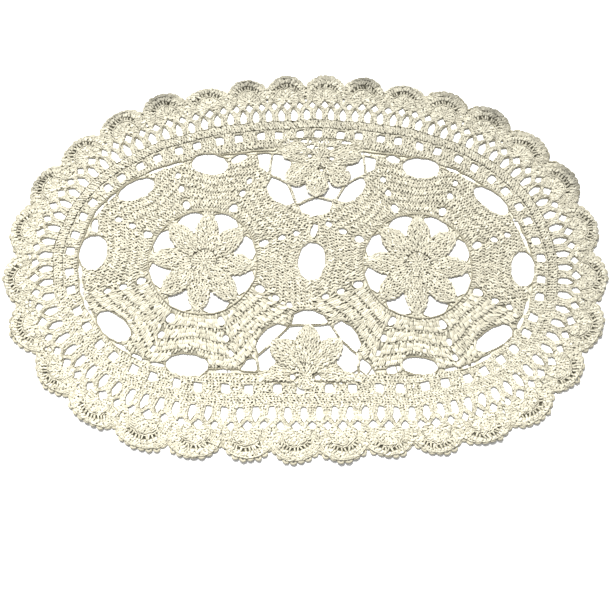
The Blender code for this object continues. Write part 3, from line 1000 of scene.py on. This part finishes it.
def work_rims(yarn):
    """The doubled chain ring, and a cord round every wide gap and along the edge."""
    for shift, lift in RING_CORDS:
        yarn.cord(settled(grown(RING_TRACK, shift)), RING_CORD, lift, closed=True)
    for gap in GAPS:
        size = np.ptp(gap, axis=0).max()
        if abs(signed_area(gap)) >= 0.2 * size ** 2:
            yarn.cord(grown(gap, 0.6), 0.65 if size > LARGE_GAP else 0.55, 0.4, closed=True)
    yarn.cord(EDGE, 0.85, lift=0.2, closed=True)


def work_picots(yarn):
    """Small loops along the edge, larger on the near side."""
    run = run_of(EDGE)
    count = round(run[-1] / PICOT_PITCH)
    foot = points_along(EDGE, run, (np.arange(count)[:, None] + PICOT_ALONG) * PICOT_PITCH)
    outwards = right_of(unit(foot[:, -1] - foot[:, 0]))
    reach = np.interp(foot[:, 2, 1], EDGE_SPAN_Y, (PICOT_REACH, 0.2 * PICOT_REACH))
    reach = reach * DRAWS.uniform(0.3, 1.2, count)
    flat = foot + (reach[:, None] * PICOT_OUT)[..., None] * outwards[:, None]
    level, radii = (np.broadcast_to(each, flat.shape[:2]) for each in (PICOT_HEIGHTS, PICOT_RADII))
    yarn.tubes(np.concatenate((flat, level[..., None]), axis=2), radii, np.full(count, 0.2),
               DRAWS.uniform(0.2, 0.8, count))


def painted_shade_points():
    """Points of the cloth at the rows darkened with painted shade: the open row of each shell, the
    grooves of the band and round the hubs."""
    rows = []
    angles = np.linspace(-POST_REACH, POST_REACH, 9)
    for shell in range(SHELLS):
        for radius in (POST_ROW[0] - 0.6, POST_ROW[0] + 0.6, POST_ROW[1] - 1.4, POST_ROW[1] - 0.2):
            rows.append(fan_points(shell, angles, radius))
    turns = np.arange(420) / 420
    for groove in BAND_GROOVES:
        rows += [border_points(turns, groove + aside) for aside in (-1.0, 0, 1.0)]
    angles = np.arange(0, 360, 15)
    for flower in MEDALLIONS:
        for radius in (HUB_GROOVE[0] - 0.7, HUB_GROOVE[0] + 0.2, HUB_GROOVE[1] - 0.2,
                       HUB_GROOVE[1] + 0.7):
            rows.append(polar(flower, angles, radius))
    return np.concatenate(rows)


def painted_cloth_shade(points):
    """How pale the cloth is under the stitches: painted shade, dark where they stand close, pale
    where the yarn leaves it open to the light."""
    turns, offsets = border_place(points)
    # Painted shade of the gaps between the stitches, unevenly deep.
    shade = np.clip(DRAWS.normal(0.36, 0.2, len(points)), 0, 0.8)
    shade[(offsets > -6) & (offsets < SHELL_START)] = PAINTED_SHADES.openwork
    # Painted shade in the band's grooves, paler on the near side.
    softer = np.interp(points[:, 1], (-60, 60), (0.7, 0.0))
    for groove in BAND_GROOVES:
        in_groove = np.abs(offsets - groove) < 0.5
        shade[in_groove] = softer[in_groove]
    # Painted shade in the shells, darkest in their open rows, and lighter beside the chain ring.
    foot = border_points((np.floor(turns * SHELLS) + 0.5) / SHELLS, FAN_FOOT)
    from_foot = np.linalg.norm(points - foot, axis=1)
    from_middle = np.abs((turns * SHELLS) % 1 - 0.5) * OVAL_LENGTH / SHELLS
    shell = offsets > SHELL_START
    open_row = (from_foot > POST_ROW[0]) & (from_foot < POST_ROW[1] - 0.4) & (from_middle < 12)
    shade[shell] = np.where(open_row, PAINTED_SHADES.open_row, PAINTED_SHADES.shell)[shell]
    beside_ring = inside(points, grown(RING_TRACK, 3.4)) & ~inside(points, grown(RING_TRACK, -3.4))
    shade[beside_ring] = PAINTED_SHADES.ring
    # Painted shade round the flowers: deeper in the sparse stretch, paler under the petals,
    # darkest in the hubs' grooves.
    for medallion in MEDALLIONS:
        radius = distance(points, medallion)
        shade[in_sparse(medallion, points) & (radius > 56) & (radius < 110)] *= PAINTED_SHADES.sparse
        shade[radius < 47] = np.maximum(shade, PAINTED_SHADES.petals)[radius < 47]
        shade[(radius > 47) & (radius < 56)] = PAINTED_SHADES.round_petals
        shade[(radius > HUB_GROOVE[0]) & (radius < HUB_GROOVE[1])] = PAINTED_SHADES.hub_groove
    return shade


def core_mesh():
    """The thin cloth that the stitches stand on: a closed sheet with every gap cut, its top
    darkened with painted shade where it shows between the stitches.
    """
    loops = [EDGE] + [grown(gap, CORE_TUCK) for gap in GAPS]
    edges = []
    first = 0
    for loop in loops:
        edges += [(first + i, first + (i + 1) % len(loop)) for i in range(len(loop))]
        first += len(loop)
    x, y = np.meshgrid(np.arange(-300, 300, CORE_STEP), np.arange(-205, 205, CORE_STEP))
    spread = np.stack((x.ravel(), y.ravel()), axis=-1)
    rows = painted_shade_points()
    spread = np.concatenate((spread[nearest_of(spread, rows)[1] >= 1.0], rows))
    cleared = boxed([grown(gap, CORE_TUCK + 1.2) for gap in GAPS])
    spread = spread[inside(spread, grown(OUTLINE, -2.5)) & ~in_any(spread, cleared)]
    points = np.concatenate(loops + [spread])
    meshed_at, _, faces = delaunay_2d_cdt([*map(Vector, points)], edges, [], 0, 1e-6)[:3]
    if len(meshed_at) != len(points):
        raise ValueError("two edges of the cloth cross or touch")
    middles = points[np.array(faces)].mean(axis=1)
    keep = inside(middles, loops[0]) & ~in_any(middles, boxed(loops[1:]))
    faces = [list(face) for face, on_cloth in zip(faces, keep) if on_cloth]
    count = len(points)
    curl = edge_curl(points)
    places = [(x * MM, y * MM, (height + rise - LET_DOWN) * MM)
              for height in (CORE_HIGH, CORE_LOW)
              for (x, y), rise in zip(swayed(points), curl)]
    under = [[v + count for v in reversed(face)] for face in faces]
    walls = [(a + count, b + count, b, a) for a, b in edges]
    mesh = bpy.data.meshes.new("cloth")
    mesh.from_pydata(places, [], faces + under + walls)
    corners = np.empty(len(mesh.loops), np.int32)
    mesh.loops.foreach_get("vertex_index", corners)
    # Painted shade on the top face; the underside keeps nearly the cloth's plain tone.
    shade = np.concatenate((painted_cloth_shade(points), np.full(count, PAINTED_SHADES.underside)))[corners]
    tone = mesh.uv_layers.new(name="tone")
    tone.data.foreach_set("uv", np.stack((PAINTED_SHADE_LOW + (PAINTED_SHADE_HIGH - PAINTED_SHADE_LOW) * shade,
                                          np.full(len(shade), 0.5)), axis=-1).ravel())
    return mesh


def feed(node, inputs):
    """A node with its inputs set, each to a value or to the output of another node."""
    for name, value in inputs.items():
        if isinstance(value, bpy.types.NodeSocket):
            node.id_data.links.new(value, node.inputs[name])
        else:
            node.inputs[name].default_value = value
    return node


def yarn_material(name, light, deep):
    """Undyed cotton yarn with painted shade: paler on top of the stitches than deep between them,
    and greyed by painted shade over the runner; with the twist of its plies and a slightly
    uneven tone."""
    material = bpy.data.materials.new(name)
    material.use_nodes = True
    nodes = material.node_tree.nodes

    # Painted shade: the deep colour low in the stitches, the light one on their tops.
    stitch = nodes.new("ShaderNodeUVMap")
    stitch.uv_map = "tone"
    split = feed(nodes.new("ShaderNodeSeparateXYZ"), {"Vector": stitch.outputs["UV"]})
    height = feed(nodes.new("ShaderNodeMapRange"), {
        "Value": split.outputs["X"], "From Min": PAINTED_SHADE_LOW, "From Max": PAINTED_SHADE_HIGH})
    depth = nodes.new("ShaderNodeMix")
    depth.data_type = "RGBA"
    feed(depth, {"Factor": height.outputs["Result"], "A": deep, "B": light})
    # The tint: each stitch's own tone, less the painted shade over the runner and on curled rims.
    tint = feed(nodes.new("ShaderNodeMapRange"), {
        "Value": split.outputs["Y"], "To Min": 0.78, "To Max": 1.14})
    tint.clamp = False
    worked = nodes.new("ShaderNodeVectorMath")
    worked.operation = "SCALE"
    feed(worked, {"Vector": depth.outputs["Result"], "Scale": tint.outputs["Result"]})

    place = nodes.new("ShaderNodeTexCoord")
    tone = feed(nodes.new("ShaderNodeTexNoise"), {
        "Vector": place.outputs["Object"], "Scale": 260, "Detail": 3})
    spread = feed(nodes.new("ShaderNodeMapRange"), {
        "Value": tone.outputs["Fac"], "From Min": 0.3, "From Max": 0.7,
        "To Min": 0.86, "To Max": 1.06})
    shade = nodes.new("ShaderNodeVectorMath")
    shade.operation = "SCALE"
    feed(shade, {"Vector": worked.outputs["Vector"], "Scale": spread.outputs["Result"]})

    twist = nodes.new("ShaderNodeUVMap")
    twist.uv_map = "yarn"
    stretch = feed(nodes.new("ShaderNodeMapping"), {
        "Vector": twist.outputs["UV"], "Scale": (1.0, 2.0, 1.0)})
    ply = feed(nodes.new("ShaderNodeTexWave"), {
        "Vector": stretch.outputs["Vector"], "Scale": 0.55, "Distortion": 0.6})
    ply.wave_type = "BANDS"
    ply.bands_direction = "DIAGONAL"
    bump = feed(nodes.new("ShaderNodeBump"), {
        "Height": ply.outputs["Fac"], "Strength": 0.5, "Distance": 0.25 * MM})
    feed(nodes["Principled BSDF"], {
        "Base Color": shade.outputs["Vector"], "Normal": bump.outputs["Normal"],
        "Roughness": 0.88, "Sheen Weight": 0.25, "Sheen Roughness": 0.5,
        "Specular IOR Level": 0.25})
    return material


def dress():
    """All the pieces of the runner."""
    # Both deep colours are painted shade: between the stitches on the yarn, and on the cloth where
    # it shows through them.
    cotton = yarn_material("cotton_yarn", (0.71, 0.675, 0.54, 1), (0.27, 0.245, 0.165, 1))
    painted_shade_cloth = yarn_material("cloth_painted_shade", (0.80, 0.76, 0.60, 1), (0.06, 0.055, 0.035, 1))
    cloth = add_piece("cloth", core_mesh(), painted_shade_cloth)
    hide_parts("runner")

    left, right = Yarn("left_medallion_yarn"), Yarn("right_medallion_yarn")
    for yarn, medallion in zip((left, right), MEDALLIONS):
        work_sectors(yarn, medallion)
        work_flower(yarn, medallion)
    halves, rims = Yarn("half_flower_yarn"), Yarn("rim_yarn")
    for flower in HALF_FLOWERS:
        work_half_flower(halves, flower)
    work_rims(rims)
    work_picots(rims)
    band = Yarn("band_yarn")
    work_band(band)
    posts = Yarn("post_yarn")
    work_posts(posts)
    work_loops(posts)
    far_shells, near_shells = Yarn("far_shell_yarn"), Yarn("near_shell_yarn")
    work_shells(far_shells, range(SHELLS // 2))
    work_shells(near_shells, range(SHELLS // 2, SHELLS))
    yarns = (left, right, halves, rims, band, posts, far_shells, near_shells)
    pieces = [yarn.mesh_piece(cotton) for yarn in yarns]


def set_stage():
    """A plain pale floor, soft light and the camera of the photograph."""
    white = bpy.data.materials.new("floor_white")
    white.use_nodes = True
    feed(white.node_tree.nodes["Principled BSDF"], {"Base Color": (1, 1, 1, 1), "Roughness": 1.0})
    bpy.ops.mesh.primitive_plane_add(size=8)
    floor = bpy.context.object
    floor.name = "floor"
    floor.data.materials.append(white)

    world = bpy.data.worlds.new("studio")
    world.use_nodes = True
    feed(world.node_tree.nodes["Background"], {"Color": (1, 1, 1, 1), "Strength": 0.45})
    bpy.context.scene.world = world
    bpy.context.scene.view_settings.view_transform = "Standard"

    key = bpy.data.lights.new("key", "AREA")
    key.size = 1.2
    key.energy = 240
    lamp = placed("key", key)
    lamp.location = (-0.6, 1.8, 2.8)
    lamp.rotation_euler = (-lamp.location).to_track_quat("-Z", "Y").to_euler()

    lens = bpy.data.cameras.new("camera")
    lens.sensor_width = 36
    lens.lens = lens.sensor_width * CAMERA_FOCAL / IMAGE_WIDTH
    lens.shift_y = -(IMAGE_WIDTH / 2 - CENTRE_PIXEL_Y) / IMAGE_WIDTH
    camera = placed("camera", lens)
    camera.rotation_euler = (math.radians(CAMERA_TILT), 0, math.radians(CAMERA_AZIMUTH))
    camera.location = camera.rotation_euler.to_matrix() @ Vector((0, 0, CAMERA_DISTANCE * MM))
    bpy.context.scene.camera = camera


dress()
set_stage()
